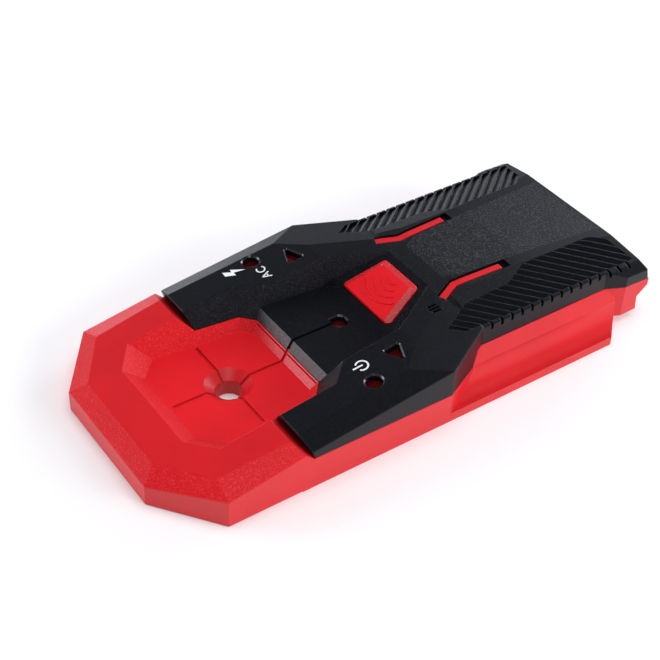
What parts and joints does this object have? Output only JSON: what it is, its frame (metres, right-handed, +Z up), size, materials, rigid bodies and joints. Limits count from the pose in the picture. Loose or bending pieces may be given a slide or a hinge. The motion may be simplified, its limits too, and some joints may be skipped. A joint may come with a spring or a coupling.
{
  "type": "stud finder",
  "caption": "Hand-held wall stud finder with a recessed marking hole, a scan button on a ramp, indicator windows and a ribbed grip; the battery door slides out under the rear.",
  "frame": {"origin": "bottom centre of the tool's bounding box, on the flat sensing face", "axes": "+Z up from the sensing face to the button, -Y towards the sensing nose, +Y towards the grip's rear end, X across the tool"},
  "size_m": [0.0776, 0.1624, 0.0225],
  "materials": {
    "red_plastic": "satin moulded",
    "black_plastic": "fine matte texture",
    "dark_red_lens": "clear gloss",
    "lamp": "diffused",
    "circuit_board": "solder mask",
    "copper": "bright",
    "chip_plastic": "matte",
    "capacitor": "bright",
    "steel": "zinc plated",
    "contact": "nickel plated",
    "cell_sleeve": "printed sleeve",
    "red_wire": "smooth",
    "black_wire": "smooth"
  },
  "bodies": {
    "housing": {"lower_housing": "red_plastic", "upper_housing": "black_plastic", "tact_switch_body": "chip_plastic", "button_board": "circuit_board", "switch_wedge": "black_plastic", "accent_right": "red_plastic", "accent_left": "red_plastic", "power_lens": "dark_red_lens", "ac_lens": "dark_red_lens", "arrow_lens_right": "dark_red_lens", "arrow_lens_left": "dark_red_lens", "center_lens": "dark_red_lens", "power_led": "lamp", "ac_led": "lamp", "arrow_led_right": "lamp", "arrow_led_left": "lamp", "center_led": "lamp", "main_board": "circuit_board", "sensor_board": "circuit_board", "sensor_plate_left": "copper", "sensor_plate_right": "copper", "sensor_plate_rear": "copper", "sensor_header": "chip_plastic", "sensor_chip": "chip_plastic", "controller_chip": "chip_plastic", "filter_capacitors": "capacitor", "piezo_buzzer": "chip_plastic", "battery_cell_left": "cell_sleeve", "battery_cell_right": "cell_sleeve", "contact_plate_negative": "contact", "contact_plate_positive": "contact", "contact_bridge": "contact", "battery_spring_front": "contact", "battery_spring_rear": "contact", "battery_lead_negative": "black_wire", "battery_lead_positive": "red_wire", "housing_screws": "steel"},
    "button": {"scan_button": "red_plastic", "tact_switch_plunger": "black_plastic"},
    "door": {"battery_door": "red_plastic"}
  },
  "joints": [
    {"name": "scan_button_press", "type": "slide", "parent": "housing", "child": "button", "axis": [0, 0.4237, -0.9058], "range_m": [0, 0.0007], "stiffness_N_per_m": 600, "springref_m": -0.001},
    {"name": "battery_door_slide", "type": "slide", "parent": "housing", "child": "door", "axis": [0, 1, 0], "range_m": [0, 0.066]}
  ]
}
